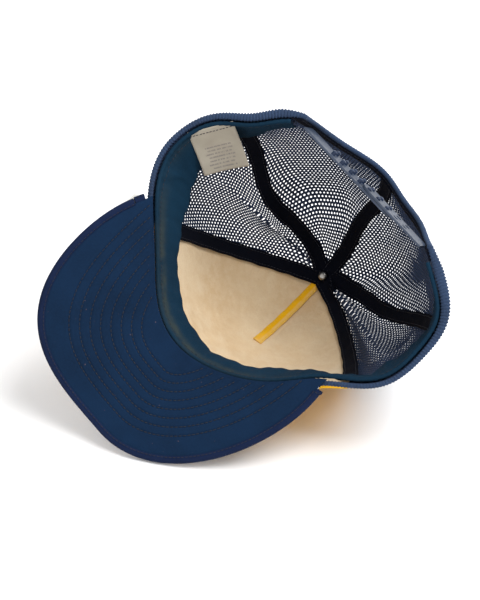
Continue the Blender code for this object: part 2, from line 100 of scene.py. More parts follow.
def rim_xy(t):
    x, y = round_rim(t)
    push = rim_push(t)
    return x + push * np.sin(t), y - push * np.cos(t)


def profile(t):
    front = np.maximum(0.0, np.cos(t))
    back = np.maximum(0.0, -np.cos(t)) ** 1.3
    side = 1.0 - front - back
    power = front * PROFILE_FRONT[0] + back * PROFILE_BACK[0] + side * PROFILE_SIDE[0]
    root = front * PROFILE_FRONT[1] + back * PROFILE_BACK[1] + side * PROFILE_SIDE[1]
    return power, root


def wall(t, lift):
    t, lift = np.broadcast_arrays(np.asarray(t, float), np.asarray(lift, float))
    power, root = profile(t)
    high = np.sin(np.clip(lift, 0, 1) * math.pi / 2)
    shrink = np.maximum(1e-9, 1.0 - high ** power) ** root
    x, y = round_rim(t)
    push = rim_push(t) * (1.0 - high) ** 2
    return np.stack((x * shrink + push * np.sin(t), y * shrink - push * np.cos(t), HEIGHT * high),
                    axis=-1)


def wall_normal(t, lift):
    t, lift = np.broadcast_arrays(np.asarray(t, float), np.asarray(lift, float))
    step = 0.002
    low = np.clip(lift, 0.004, 0.992)
    across = wall(t + step, low) - wall(t - step, low)
    up = wall(t, low + step) - wall(t, low - step)
    return unit(np.cross(across, up))


def lift_at(z):
    return np.arcsin(np.clip(np.asarray(z, float) / HEIGHT, 0, 1)) * 2 / math.pi


def lift_at_radius(t, radius):
    power, root = profile(np.asarray(t, float))
    x, y = round_rim(np.asarray(t, float))
    shrink = radius / np.hypot(x, y)
    high = np.clip(1.0 - shrink ** (1.0 / root), 0, 1) ** (1.0 / power)
    return np.arcsin(high) * 2 / math.pi


def arch_low(t):
    away = (math.pi - np.abs(t)) / math.radians(ARCH_HALF)
    return ARCH_HEIGHT * np.sqrt(np.clip(1.0 - away ** 2, 0, 1))


def ridge(t, lift, t0, l0, t1, l1, wide, depth):
    """A fold along a line between two (degrees, lift) points, as an offset in metres."""
    a = np.stack((np.degrees(t) / 60.0, lift), axis=-1)
    p = np.array((t0 / 60.0, l0))
    q = np.array((t1 / 60.0, l1))
    d = q - p
    s = np.clip(((a - p) @ d) / (d @ d), 0, 1)
    gap = np.linalg.norm(a - (p + s[..., None] * d), axis=-1) / wide
    fade = np.sin(math.pi * np.clip(s, 0.02, 0.98)) ** 0.5
    return depth * np.exp(-gap ** 2) * fade


def cloth_wave(t, lift):
    """Soft folds of the mesh and of the tapes on it, zero at the foam front and at the rim."""
    t, lift = np.broadcast_arrays(np.asarray(t, float), np.asarray(lift, float))
    deg = np.degrees(t)
    w = 0.0012 * np.sin(deg * 0.11 + 5.0 * lift) * np.sin(3.3 * lift + 0.4)
    w = w + 0.0007 * np.sin(deg * 0.23 - 9.0 * lift + 1.0)
    for args in FOLDS:
        w = w + ridge(t, lift, *args)
    away = np.minimum(np.abs(deg - SEAMS["front_left"]), np.abs(deg - SEAMS["front_right"]))
    inside = (deg < SEAMS["front_left"]) & (deg > SEAMS["front_right"])
    hold = np.where(inside, 0.0, 1.0 - np.exp(-(away / 10.0) ** 2))
    rim = 1.0 - np.exp(-(np.maximum(0, lift) / 0.10) ** 2)
    top = 1.0 - np.exp(-((1.0 - lift) / 0.10) ** 2)
    return w * hold * rim * top


FOLDS = (
    (62.0, 0.62, 116.0, 0.40, 0.12, -0.0030),
    (66.0, 0.80, 116.0, 0.60, 0.12, 0.0020),
    (120.0, 0.66, 176.0, 0.74, 0.09, -0.0045),
    (120.0, 0.52, 170.0, 0.56, 0.08, 0.0035),
    (-84.0, 0.22, -90.0, 0.85, 0.13, -0.0050),
    (-104.0, 0.25, -100.0, 0.80, 0.12, 0.0040),
    (-132.0, 0.25, -128.0, 0.85, 0.13, -0.0045),
    (-150.0, 0.40, -140.0, 0.85, 0.12, 0.0030),
)


def sagged(t, lift):
    """Rim parameter after the soft side panels slump sideways between rim and button."""
    deg = np.degrees(t)
    for at, wide, level, tall, turn in SLUMPS:
        deg = deg + turn * np.exp(-((deg - at) / wide) ** 2 - ((lift - level) / tall) ** 2)
    return np.radians(deg)


SLUMPS = (
    (114.0, 24.0, 0.50, 0.17, -13.0),
    (122.0, 24.0, 0.84, 0.10, 5.0),
    (178.0, 22.0, 0.62, 0.16, -5.0),
    (-118.0, 22.0, 0.55, 0.18, 6.0),
)


def shell(t, lift, off, wave=True):
    t, lift = np.broadcast_arrays(np.asarray(t, float), np.asarray(lift, float))
    if wave:
        t = sagged(t, lift)
    base = wall(t, lift)
    normal = wall_normal(t, lift)
    skin = base + normal * SKIN
    push = np.maximum(0.0, REST_FLOOR - skin @ REST_UP)
    off = np.asarray(off, float)
    if wave:
        off = off + cloth_wave(t, lift)
    off = np.broadcast_to(off, t.shape)
    return base + normal * off[..., None] + REST_UP * push[..., None]


# ------------------------------------------------------------------------- mesh helpers
def new_object(name, verts, faces, mat, uvs=None, smooth=True, attr=None):
    mesh = bpy.data.meshes.new(name)
    mesh.from_pydata([tuple(v) for v in np.asarray(verts).tolist()], [], faces)
    mesh.update()
    obj = bpy.data.objects.new(name, mesh)
    bpy.context.scene.collection.objects.link(obj)
    mats = mat if isinstance(mat, (list, tuple)) else [mat]
    for m in mats:
        mesh.materials.append(m)
    if uvs is not None:
        layer = mesh.uv_layers.new(name="UVMap")
        idx = np.empty(len(mesh.loops), dtype=np.int32)
        mesh.loops.foreach_get("vertex_index", idx)
        layer.data.foreach_set("uv", np.asarray(uvs, dtype=np.float32)[idx].ravel())
    if attr is not None:
        for key, values in attr.items():
            a = mesh.attributes.new(key, "FLOAT", "POINT")
            a.data.foreach_set("value", np.asarray(values, dtype=np.float32))
    if smooth:
        mesh.polygons.foreach_set("use_smooth", np.ones(len(mesh.polygons), dtype=bool))
    return obj


def grid_faces(rows, cols, flip=False, start=0):
    i, j = np.meshgrid(np.arange(rows - 1), np.arange(cols - 1), indexing="ij")
    a = (start + i * cols + j).ravel()
    f = np.stack((a, a + 1, a + cols + 1, a + cols), axis=1)
    if flip:
        f = f[:, ::-1]
    return f.tolist()


def slab(name, near, far, mat, uv=None, attr=None):
    """Closed sheet between two equal grids of points in the cap's frame."""
    rows, cols = near.shape[:2]
    size = rows * cols
    verts = np.concatenate((near.reshape(-1, 3), far.reshape(-1, 3)))
    faces = grid_faces(rows, cols, flip=True) + grid_faces(rows, cols, start=size)
    loop = list(range(cols)) + [i * cols + cols - 1 for i in range(1, rows)]
    loop += [(rows - 1) * cols + j for j in range(cols - 2, -1, -1)]
    loop += [i * cols for i in range(rows - 2, 0, -1)]
    for k, a in enumerate(loop):
        b = loop[(k + 1) % len(loop)]
        faces.append((a, b, size + b, size + a))
    uvs = None if uv is None else np.concatenate((uv.reshape(-1, 2), uv.reshape(-1, 2)))
    extra = None
    if attr is not None:
        extra = {k: np.concatenate((v.ravel(), v.ravel())) for k, v in attr.items()}
    obj = new_object(name, world(verts), faces, mat, uvs, attr=extra)
    if volume(obj.data) < 0:
        obj.data.flip_normals()
    return obj


def volume(mesh):
    mesh.calc_loop_triangles()
    tri = np.empty(len(mesh.loop_triangles) * 3, dtype=np.int32)
    mesh.loop_triangles.foreach_get("vertices", tri)
    co = np.empty(len(mesh.vertices) * 3, dtype=np.float64)
    mesh.vertices.foreach_get("co", co)
    co = co.reshape(-1, 3)
    co = co - co.mean(axis=0)
    t = tri.reshape(-1, 3)
    return float(np.einsum("ij,ij->i", co[t[:, 0]], np.cross(co[t[:, 1]], co[t[:, 2]])).sum())


def arc_uv(points, scale=1000.0):
    """UV in millimetres along the rows and columns of a grid of points."""
    du = np.linalg.norm(np.diff(points, axis=1), axis=-1)
    dv = np.linalg.norm(np.diff(points, axis=0), axis=-1)
    u = np.concatenate((np.zeros((points.shape[0], 1)), np.cumsum(du, axis=1)), axis=1)
    u = u - u[:, [u.shape[1] // 2]]
    v = np.concatenate((np.zeros((1, points.shape[1])), np.cumsum(dv, axis=0)), axis=0)
    return np.stack((u, v), axis=-1) * scale


def run_length(path):
    """Distance from the start of a path to each of its points."""
    return np.concatenate(([0.0], np.cumsum(np.linalg.norm(np.diff(path, axis=0), axis=1))))


def ring_edges(count, sides):
    """Neighbouring vertices round each ring but the last."""
    return [(i * sides + k, i * sides + (k + 1) % sides)
            for i in range(count - 1) for k in range(sides)]


def ring_faces(count, sides):
    """Faces of a closed tube of rings, its two ends included."""
    last = (count - 1) * sides
    faces = [(a, b, b + sides, a + sides) for a, b in ring_edges(count, sides)]
    return faces + [tuple(range(sides))[::-1], tuple(range(last, last + sides))]


def tube(name, path, side, up, mat, radius_a, radius_b=None, sides=10, ribs=None):
    """Cord with an oval section along a path in the cap's frame; ribs vary the radius."""
    radius_b = radius_a if radius_b is None else radius_b
    n = len(path)
    ang = np.arange(sides) / sides * TAU
    grow = np.ones(n) if ribs is None else ribs
    ca = np.cos(ang)[None, :, None] * radius_a * grow[:, None, None]
    sb = np.sin(ang)[None, :, None] * radius_b * grow[:, None, None]
    verts = path[:, None, :] + side[:, None, :] * ca + up[:, None, :] * sb
    faces = ring_faces(n, sides)
    seg = run_length(path) * 1000
    uv = np.stack((np.repeat(seg, sides), np.tile(ang * radius_b * 1000, n)), axis=1)
    obj = new_object(name, world(verts.reshape(-1, 3)), faces, mat, uv)
    if volume(obj.data) < 0:
        obj.data.flip_normals()
    return obj


def stitches(name, rows, mat, pitch=2.6 * MM, length=2.0 * MM, radius=0.26 * MM):
    """Short thread stitches along rows; each row is (path, normal) in the cap's frame."""
    verts = []
    faces = []
    ring = np.array([(math.cos(a), math.sin(a)) for a in np.arange(5) / 5 * TAU])
    stations = ((-0.5, 0.35, -0.35), (-0.28, 1.0, 0.25), (0.28, 1.0, 0.25), (0.5, 0.35, -0.35))
    for path, normal in rows:
        both = np.concatenate((path, normal), axis=1)
        s = run_length(path)
        at = np.arange(pitch / 2, s[-1] - pitch / 2, pitch)
        at = at + rng.normal(0, 0.04, len(at)) * pitch
        for a in at:
            mid = np.array([np.interp(a, s, both[:, k]) for k in range(6)])
            ahead = np.array([np.interp(a + 0.3 * MM, s, both[:, k]) for k in range(3)])
            along = unit(ahead - mid[:3])
            n = unit(mid[3:])
            side = np.cross(n, along)
            base = len(verts)
            for d, r, h in stations:
                c = mid[:3] + along * d * length + n * h * radius
                for x, y in ring:
                    verts.append(c + side * x * radius * r + n * y * radius * r)
            for i in range(3):
                for k in range(5):
                    a0 = base + i * 5 + k
                    b0 = base + i * 5 + (k + 1) % 5
                    faces.append((a0, b0, b0 + 5, a0 + 5))
            faces.append(tuple(base + k for k in range(5))[::-1])
            faces.append(tuple(base + 15 + k for k in range(5)))
    pts = np.array(verts)
    return new_object(name, world(pts), faces, mat)


# --------------------------------------------------------------------------- materials
class Graph:
    def __init__(self, name):
        self.mat = bpy.data.materials.new(name)
        self.mat.use_nodes = True
        self.tree = self.mat.node_tree
        self.bsdf = self.tree.nodes["Principled BSDF"]

    def node(self, kind, **values):
        n = self.tree.nodes.new(kind)
        for key, value in values.items():
            if hasattr(n, key):
                setattr(n, key, value)
            else:
                n.inputs[key.replace("_", " ")].default_value = value
        return n

    def place(self):
        return self.node("ShaderNodeTexCoord").outputs["Object"]

    def link(self, a, b):
        self.tree.links.new(a, b)

    def set(self, **values):
        for key, value in values.items():
            self.bsdf.inputs[key.replace("_", " ")].default_value = value

    def math(self, op, a, b=None, c=None):
        n = self.node("ShaderNodeMath", operation=op)
        for k, v in enumerate((a, b, c)):
            if v is None:
                continue
            if isinstance(v, (int, float)):
                n.inputs[k].default_value = v
            else:
                self.link(v, n.inputs[k])
        return n.outputs[0]

    def mix(self, fac, a, b):
        n = self.node("ShaderNodeMix", data_type="RGBA")
        for sock, v in ((n.inputs[0], fac), (n.inputs[6], a), (n.inputs[7], b)):
            if isinstance(v, (int, float)):
                sock.default_value = v
            elif isinstance(v, tuple):
                sock.default_value = (*v, 1.0)
            else:
                self.link(v, sock)
        return n.outputs[2]

    def noise(self, coord, scale, detail=3.0, rough=0.55):
        n = self.node("ShaderNodeTexNoise", Scale=scale, Detail=detail, Roughness=rough)
        self.link(coord, n.inputs["Vector"])
        return n.outputs["Fac"]

    def ramp(self, fac, low, high):
        n = self.node("ShaderNodeMapRange")
        n.inputs["From Min"].default_value = low
        n.inputs["From Max"].default_value = high
        self.link(fac, n.inputs["Value"])
        return n.outputs[0]

    def bump(self, height, strength, distance):
        n = self.node("ShaderNodeBump", Strength=strength, Distance=distance)
        self.link(height, n.inputs["Height"])
        return n.outputs[0]


def tint(colour, k):
    return tuple(min(1.0, c * k) for c in colour)


def cloth(name, colour, pitch=0.55, var=0.22, rough=0.85, sheen=0.25, bump=0.35, twill=False,
          lint=0.0, fuzz=0.0, stain=None):
    """Woven cloth: weave from UV in millimetres, mottled dye, loose fibres and a soft sheen."""
    g = Graph(name)
    coord = g.node("ShaderNodeTexCoord")
    uv = coord.outputs["UV"]
    obj = coord.outputs["Object"]
    sep = g.node("ShaderNodeSeparateXYZ")
    g.link(uv, sep.inputs[0])
    k = TAU / pitch
    if twill:
        diag = g.math("ADD", sep.outputs[0], g.math("MULTIPLY", sep.outputs[1], 0.6))
        weave = g.math("SINE", g.math("MULTIPLY", diag, k))
    else:
        a = g.math("SINE", g.math("MULTIPLY", sep.outputs[0], k))
        b = g.math("SINE", g.math("MULTIPLY", sep.outputs[1], k))
        weave = g.math("MULTIPLY", a, b)
    weave = g.math("MULTIPLY_ADD", weave, 0.5, 0.5)
    broad = g.noise(obj, 28.0, 4.0)
    fine = g.noise(obj, 900.0, 2.0)
    col = g.mix(g.ramp(broad, 0.3, 0.7), tint(colour, 1 - var), tint(colour, 1 + var))
    col = g.mix(g.math("MULTIPLY", g.ramp(fine, 0.35, 0.75), 0.35), col, tint(colour, 1.7))
    col = g.mix(g.math("MULTIPLY", weave, 0.22), col, tint(colour, 0.55))
    if stain is not None:
        at = g.node("ShaderNodeAttribute", attribute_name="stain")
        blot = g.math("MULTIPLY", at.outputs["Fac"], g.ramp(g.noise(obj, 70.0, 5.0, 0.65), 0.3, 0.62))
        col = g.mix(blot, col, stain)
    if lint > 0:
        speck = g.ramp(g.noise(obj, 620.0, 1.0), 0.785, 0.83)
        col = g.mix(g.math("MULTIPLY", speck, lint), col, (0.42, 0.26, 0.24))
    g.link(col, g.bsdf.inputs["Base Color"])
    height = g.math("ADD", g.math("MULTIPLY", weave, 0.6), g.math("MULTIPLY", fine, 0.8 + fuzz))
    g.link(g.bump(height, bump, 0.0003), g.bsdf.inputs["Normal"])
    g.set(Roughness=rough, Sheen_Weight=sheen, Sheen_Roughness=0.45,
          Sheen_Tint=(*tint(colour, 3.0), 1.0), Specular_IOR_Level=0.12)
    return g.mat


def foam_material():
    g = Graph("foam_lining")
    coord = g.place()
    broad = g.noise(coord, 18.0, 5.0, 0.6)
    mid = g.noise(coord, 110.0, 5.0, 0.7)
    fine = g.noise(coord, 700.0, 3.0, 0.7)
    col = g.mix(g.ramp(broad, 0.35, 0.68), (0.66, 0.46, 0.255), (0.78, 0.60, 0.38))
    col = g.mix(g.math("MULTIPLY", g.ramp(mid, 0.42, 0.70), 0.5), col, (0.84, 0.70, 0.50))
    col = g.mix(g.math("MULTIPLY", g.ramp(fine, 0.5, 0.75), 0.4), col, (0.62, 0.44, 0.25))
    g.link(col, g.bsdf.inputs["Base Color"])
    g.set(Roughness=1.0, Sheen_Weight=0.5, Sheen_Roughness=0.6, Sheen_Tint=(1.0, 0.92, 0.78, 1.0),
          Specular_IOR_Level=0.1)
    height = g.math("ADD", g.math("MULTIPLY", mid, 1.0), g.math("MULTIPLY", fine, 0.8))
    g.link(g.bump(height, 0.6, 0.0008), g.bsdf.inputs["Normal"])
    return g.mat


def knit_material(name, colour, rough=0.7):
    g = Graph(name)
    coord = g.place()
    fine = g.noise(coord, 1400.0, 2.0)
    broad = g.noise(coord, 35.0, 3.0)
    col = g.mix(g.ramp(broad, 0.3, 0.7), tint(colour, 0.8), tint(colour, 1.25))
    col = g.mix(g.math("MULTIPLY", g.ramp(fine, 0.4, 0.7), 0.5), col, tint(colour, 2.2))
    g.link(col, g.bsdf.inputs["Base Color"])
    g.set(Roughness=rough, Sheen_Weight=0.12, Sheen_Roughness=0.4,
          Sheen_Tint=(0.35, 0.5, 0.8, 1.0), Specular_IOR_Level=0.35)
    g.link(g.bump(fine, 0.5, 0.0002), g.bsdf.inputs["Normal"])
    return g.mat


def thread_material(name, colour):
    g = Graph(name)
    coord = g.place()
    fine = g.noise(coord, 2500.0, 1.0)
    col = g.mix(fine, tint(colour, 0.6), tint(colour, 1.5))
    g.link(col, g.bsdf.inputs["Base Color"])
    g.set(Roughness=0.6)
    g.link(g.bump(fine, 0.4, 0.0001), g.bsdf.inputs["Normal"])
    return g.mat


def plastic_material():
    g = Graph("smoke_plastic")
    coord = g.place()
    scuff = g.noise(coord, 260.0, 5.0, 0.7)
    broad = g.noise(coord, 40.0, 2.0)
    col = g.mix(g.ramp(broad, 0.3, 0.7), (0.036, 0.052, 0.090), (0.062, 0.084, 0.132))
    col = g.mix(g.math("MULTIPLY", g.ramp(scuff, 0.6, 0.8), 0.25), col, (0.20, 0.23, 0.29))
    g.link(col, g.bsdf.inputs["Base Color"])
    g.link(g.math("MULTIPLY_ADD", scuff, 0.3, 0.22), g.bsdf.inputs["Roughness"])
    g.set(Transmission_Weight=0.30, IOR=1.45)
    g.link(g.bump(scuff, 0.15, 0.0003), g.bsdf.inputs["Normal"])
    return g.mat


def metal_material():
    g = Graph("nickel")
    coord = g.place()
    scuff = g.noise(coord, 500.0, 6.0, 0.7)
    col = g.mix(g.ramp(scuff, 0.4, 0.7), (0.30, 0.29, 0.27), (0.14, 0.13, 0.12))
    g.link(col, g.bsdf.inputs["Base Color"])
    g.set(Metallic=1.0)
    g.link(g.math("MULTIPLY_ADD", scuff, 0.35, 0.15), g.bsdf.inputs["Roughness"])
    g.link(g.bump(scuff, 0.2, 0.0002), g.bsdf.inputs["Normal"])
    return g.mat


def label_material():
    """Cream satin with short printed bars in place of any words; UV in millimetres."""
    g = Graph("label_satin")
    coord = g.node("ShaderNodeTexCoord")
    sep = g.node("ShaderNodeSeparateXYZ")
    g.link(coord.outputs["UV"], sep.inputs[0])
    u, v = sep.outputs[0], sep.outputs[1]
    line = g.math("FRACT", g.math("DIVIDE", g.math("SUBTRACT", v, 13.0), 2.6))
    row = g.math("FLOOR", g.math("DIVIDE", g.math("SUBTRACT", v, 13.0), 2.6))
    on_line = g.math("LESS_THAN", line, 0.42)
    block = g.math("MULTIPLY", g.math("GREATER_THAN", v, 13.0), g.math("LESS_THAN", v, 31.0))
    wide = g.math("LESS_THAN", g.math("ABSOLUTE", g.math("ADD", u, g.math("SINE", g.math(
        "MULTIPLY", row, 2.3)))), 8.6)
    cell = g.node("ShaderNodeCombineXYZ")
    g.link(g.math("MULTIPLY", u, 0.85), cell.inputs[0])
    g.link(g.math("MULTIPLY", row, 7.3), cell.inputs[1])
    words = g.math("GREATER_THAN", g.noise(cell.outputs[0], 1.0, 1.0), 0.42)
    ink = g.math("MULTIPLY", g.math("MULTIPLY", on_line, block), g.math("MULTIPLY", wide, words))
    broad = g.noise(coord.outputs["Object"], 60.0, 4.0)
    fine = g.noise(coord.outputs["Object"], 1500.0, 2.0)
    col = g.mix(g.ramp(broad, 0.3, 0.7), (0.33, 0.29, 0.225), (0.42, 0.375, 0.30))
    ink = g.math("MULTIPLY", ink, g.ramp(fine, 0.25, 0.5))
    col = g.mix(g.math("MULTIPLY", ink, 0.72), col, (0.16, 0.14, 0.14))
    g.link(col, g.bsdf.inputs["Base Color"])
    g.set(Roughness=0.5, Sheen_Weight=0.3, Sheen_Tint=(1.0, 0.97, 0.9, 1.0))
    g.link(g.bump(fine, 0.2, 0.0002), g.bsdf.inputs["Normal"])
    return g.mat


MAT = {
    "brim": cloth("brim_cotton", (0.0036, 0.0172, 0.048), pitch=0.5, lint=0.3, sheen=0.03),
    "binding": cloth("binding_cotton", (0.0062, 0.0135, 0.044), pitch=0.5, sheen=0.08),
    "sweat": cloth("sweatband_cotton", (0.0030, 0.021, 0.044), pitch=0.5, sheen=0.03,
                   stain=(0.040, 0.050, 0.042)),
    "tape": cloth("seam_tape_twill", (0.0010, 0.0020, 0.0065), pitch=0.8, twill=True, sheen=0.01,
                  bump=0.6),
    "gold": cloth("gold_cloth", (0.88, 0.42, 0.012), pitch=0.5, var=0.1, sheen=0.2),
    "gold_tape": cloth("gold_tape", (0.95, 0.44, 0.008), pitch=0.7, var=0.15, twill=True, sheen=0.2,
                       stain=(0.80, 0.52, 0.20)),
    "foam": foam_material(),
    "knit": knit_material("mesh_knit", (0.008, 0.018, 0.048)),
    "hem": knit_material("mesh_hem", (0.014, 0.030, 0.068), 0.85),
    "thread": thread_material("navy_thread", (0.0025, 0.0045, 0.014)),
    "gold_thread": thread_material("gold_thread", (0.80, 0.45, 0.03)),
    "plastic": plastic_material(),
    "metal": metal_material(),
    "peg": knit_material("peg_plastic", (0.012, 0.022, 0.050), 0.35),
    "label": label_material(),
}


# ------------------------------------------------------------------------- mesh panels
def mesh_panel(name, node, t0, t1):
    """Warp-knitted mesh panel: rows of staggered rounded openings between real threads."""
    t0, t1 = math.radians(t0), math.radians(t1)
    mid = (t0 + t1) / 2
    lifts = np.linspace(0.0, 0.985, 160)
    line = wall(mid, lifts)
    q = np.concatenate(([0.0], np.cumsum(np.linalg.norm(np.diff(line, axis=0), axis=1))))
    tt = np.linspace(t0 - 0.08, t1 + 0.08, 90)
    table = wall(tt[None, :], lifts[:, None])
    run = np.linalg.norm(np.diff(table, axis=1), axis=-1)
    run = np.concatenate((np.zeros((len(lifts), 1)), np.cumsum(run, axis=1)), axis=1)
    k = np.argmin(np.abs(tt - mid))
    run = run - run[:, [k]]
    dp, dq = 2.15 * MM, 2.8 * MM
    reach = float(np.abs(run).max())
    ps = np.arange(-reach, reach, dp / 4)
    grid_t = np.stack([np.interp(ps, run[r], tt, left=-9, right=9) for r in range(len(lifts))])

    def locate(p, qq):
        """Rim parameter and lift at a flat position on the panel."""
        lift = np.interp(qq, q, lifts)
        fr = np.clip(lift / 0.985 * (len(lifts) - 1), 0, len(lifts) - 1.001)
        fc = np.clip((p - ps[0]) / (ps[1] - ps[0]), 0, len(ps) - 1.001)
        r, c = fr.astype(int), fc.astype(int)
        a, b = fr - r, fc - c
        t = ((1 - a) * (1 - b) * grid_t[r, c] + (1 - a) * b * grid_t[r, c + 1]
             + a * (1 - b) * grid_t[r + 1, c] + a * b * grid_t[r + 1, c + 1])
        return t, lift

    n_cols = int(reach / dp) + 1
    n_rows = int(q[-1] / dq)
    edge = {}
    flat = []
    raised = []
    faces = []

    def corner(k2, j):
        if (k2, j) not in edge:
            edge[(k2, j)] = len(flat)
            wob = rng.normal(0, 0.05, 2)
            flat.append((k2 * dp / 2 + wob[0] * dp * 0.4, j * dq + wob[1] * dq * 0.3))
            raised.append(1.0)
        return edge[(k2, j)]

    centres = []
    for j in range(n_rows):
        for i in range(-n_cols, n_cols):
            centres.append((2 * i + (j % 2), j))
    centres = np.array(centres)
    cp = (centres[:, 0] + 1) * dp / 2
    cq = (centres[:, 1] + 0.5) * dq
    ct, cl = locate(cp, cq)
    low = lift_at(arch_low(ct) + 1.0 * MM)
    keep = (ct > t0 - 0.004) & (ct < t1 + 0.004) & (cl > low) & (cl < lift_at_radius(ct, 4.0 * MM))
    hole_shape = ((-0.42, -0.98), (0.42, -0.98), (0.98, -0.42), (0.98, 0.42),
                  (0.42, 0.98), (-0.42, 0.98), (-0.98, 0.42), (-0.98, -0.42))
    for (k2, j), x, y in zip(centres[keep], cp[keep], cq[keep]):
        b0, b1, b2 = corner(k2, j), corner(k2 + 1, j), corner(k2 + 2, j)
        u0, u1, u2 = corner(k2, j + 1), corner(k2 + 1, j + 1), corner(k2 + 2, j + 1)
        h = len(flat)
        hx = dp / 2 * (0.50 + rng.normal(0, 0.03))
        hy = dq / 2 * (0.55 + rng.normal(0, 0.03))
        for sx, sy in hole_shape:
            flat.append((x + sx * hx, y + sy * hy))
            raised.append(0.0)
        faces += [(b0, b1, h, h + 7), (b1, h + 1, h), (b1, b2, h + 2, h + 1),
                  (b2, u2, h + 3, h + 2), (u2, u1, h + 4, h + 3), (u1, h + 5, h + 4),
                  (u1, u0, h + 6, h + 5), (u0, b0, h + 7, h + 6)]
    flat = np.array(flat)
    raised = np.array(raised)
    t, lift = locate(flat[:, 0], flat[:, 1])
    t = np.clip(t, t0, t1)
    lift = np.maximum(lift, lift_at(arch_low(t) + 0.5 * MM))
    half = 0.16 * MM + 0.26 * MM * raised
    mid_off = 0.45 * MM
    outer = shell(t, lift, mid_off + half)
    inner = shell(t, lift, mid_off - half)
    size = len(flat)
    count = {}
    for f in faces:
        for a, b in zip(f, f[1:] + f[:1]):
            count[(a, b)] = count.get((a, b), 0) + 1
    sides = [(b, a, a + size, b + size) for (a, b) in count if (b, a) not in count]
    under = [tuple(i + size for i in f[::-1]) for f in faces]
    obj = new_object(name, world(np.concatenate((outer, inner))), faces + under + sides, MAT["knit"])
    if volume(obj.data) < 0:
        obj.data.flip_normals()
    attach(obj, "cap")
    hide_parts(node)
    return obj, int(keep.sum())


PANELS = {
    "mesh_panel_side_left": ("side_mesh_left", SEAMS["front_left"], SEAMS["side_left"]),
    "mesh_panel_back_left": ("back_mesh_left", SEAMS["side_left"], 180.0),
    "mesh_panel_back_right": ("back_mesh_right", -180.0, SEAMS["side_right"]),
    "mesh_panel_side_right": ("side_mesh_right", SEAMS["side_right"], SEAMS["front_right"]),
}
for name, (node, a, b) in PANELS.items():
    obj, holes = mesh_panel(name, node, a, b)
    print(name, holes, "openings", len(obj.data.polygons))


# ------------------------------------------------------------------------- front panel
def front_panel():
    t = np.radians(np.linspace(SEAMS["front_right"], SEAMS["front_left"], 150))[None, :]
    s = np.linspace(0, 1, 110)[:, None]
    low = lift_at(1.2 * MM)
    foam_low = lift_at(5.0 * MM)
    top = lift_at_radius(t, 5.0 * MM)
    foam_lift = foam_low + (top - foam_low) * s
    lift = low + (top - low) * s
    t = np.broadcast_to(t, lift.shape)
    base = wall(t, lift)
    nz = (np.sin(base[..., 0] * 120 + 1.3) * np.sin(base[..., 2] * 95 + base[..., 1] * 60)
          + 0.6 * np.sin(base[..., 0] * 260 + base[..., 2] * 190))
    dart = np.exp(-((np.degrees(t) + 6.0) * np.sin(np.clip(1 - lift, 0.02, 1)) / 5.0) ** 2)
    dart = dart * np.clip((lift - 0.45) / 0.2, 0, 1)
    inside = -0.35 * MM * nz + 1.3 * MM * dart
    near = shell(t, foam_lift, inside, wave=False)
    far = shell(t, foam_lift, 2.4 * MM + 0 * t, wave=False)
    lining = slab("front_foam", near, far, MAT["foam"], arc_uv(base))
    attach(lining, "cap")
    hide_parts("front_foam_lining")
    outside = 3.3 * MM + 0.12 * MM * nz - 0.7 * MM * dart
    cover = slab("front_cover", shell(t, lift, 2.55 * MM + 0 * t, wave=False),
                 shell(t, lift, outside, wave=False), MAT["gold"], arc_uv(base))
    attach(cover, "cap")
    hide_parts("front_cover_fabric")


front_panel()


# --------------------------------------------------------------------------- seam tapes
def tape(name, node, t_deg, low, high_radius, width, mat, off, thick=0.8 * MM, rows=70,
         sway=0.0, flare=0.0):
    t = math.radians(t_deg)
    top = float(lift_at_radius(t, high_radius))
    lift = np.linspace(low, top, rows)[:, None]
    c = np.linspace(-1, 1, 11)[None, :]
    around = np.linalg.norm(wall(t + 0.01, lift) - wall(t, lift), axis=-1) / 0.01
    drift = sway * np.sin(np.linspace(0, 2.6, rows))[:, None]
    near_top = np.exp(-(top - lift) / 0.10) * flare
    half = width / 2 * (1 + 0.035 * np.sin(lift * 60 + t_deg) + near_top)
    tt = t + np.clip((c * half + drift) / np.maximum(around, 0.004), -1.2, 1.2)
    lift = np.broadcast_to(lift, tt.shape)
    ease = 0.18 * MM * np.sin(lift * 75 + c * 2) + 0.25 * MM * (1 - c ** 2)
    base = off - ease
    near = shell(tt, lift, base)
    far = shell(tt, lift, off + thick + 0 * tt)
    # darker duller gold on one half of the tape's width and towards its lower end; only the gold dart
    # tape's material uses this mask
    dark_half_and_end = (c < -0.15) * 0.75 + np.exp(-(lift - low) / 0.022) * 0.9
    obj = slab(name, near, far, MAT[mat], arc_uv(near), {"stain": np.clip(dark_half_and_end, 0, 1)})
    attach(obj, "cap")
    if node:
        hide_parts(node)
    rows_out = []
    for side in (-0.72, 0.72):
        ts = t + np.clip((side * half[:, 0] + drift[:, 0]) / np.maximum(around[:, 0], 0.004), -1.2, 1.2)
        ls = lift[:, 0]
        p = shell(ts, ls, off - 0.22 * MM)
        rows_out.append((p, -wall_normal(ts, ls)))
    return obj, rows_out


tape_rows = []
LAYER = {"side_left": -1.30, "side_right": -1.55, "back": -1.80, "front_left": -2.05,
         "front_right": -2.30}
FLARE = {"front_right": 0.5, "side_right": 0.9, "side_left": 0.3}
for key, z in LAYER.items():
    low = float(lift_at(2.5 * MM if key != "back" else ARCH_HEIGHT + 2.5 * MM))
    node = "seam_tape_" + key
    obj, rows = tape("tape_" + key, node, SEAMS[key], low, 3.0 * MM, 10.5 * MM, "tape",
                     z * MM, 0.75 * MM, flare=FLARE.get(key, 0.25))
    tape_rows += rows
dart, dart_rows = tape("tape_dart", "front_dart_tape", -7.0,
                       float(lift_at_radius(math.radians(-7.0), 7.0 * MM)) - 0.47, 7.0 * MM,
                       6.5 * MM, "gold_tape", -1.0 * MM, 0.8 * MM, sway=1.2 * MM)
threads = stitches("tape_stitches", tape_rows, MAT["thread"])
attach(threads, "cap")
gold_threads = stitches("dart_stitches", dart_rows, MAT["gold_thread"])
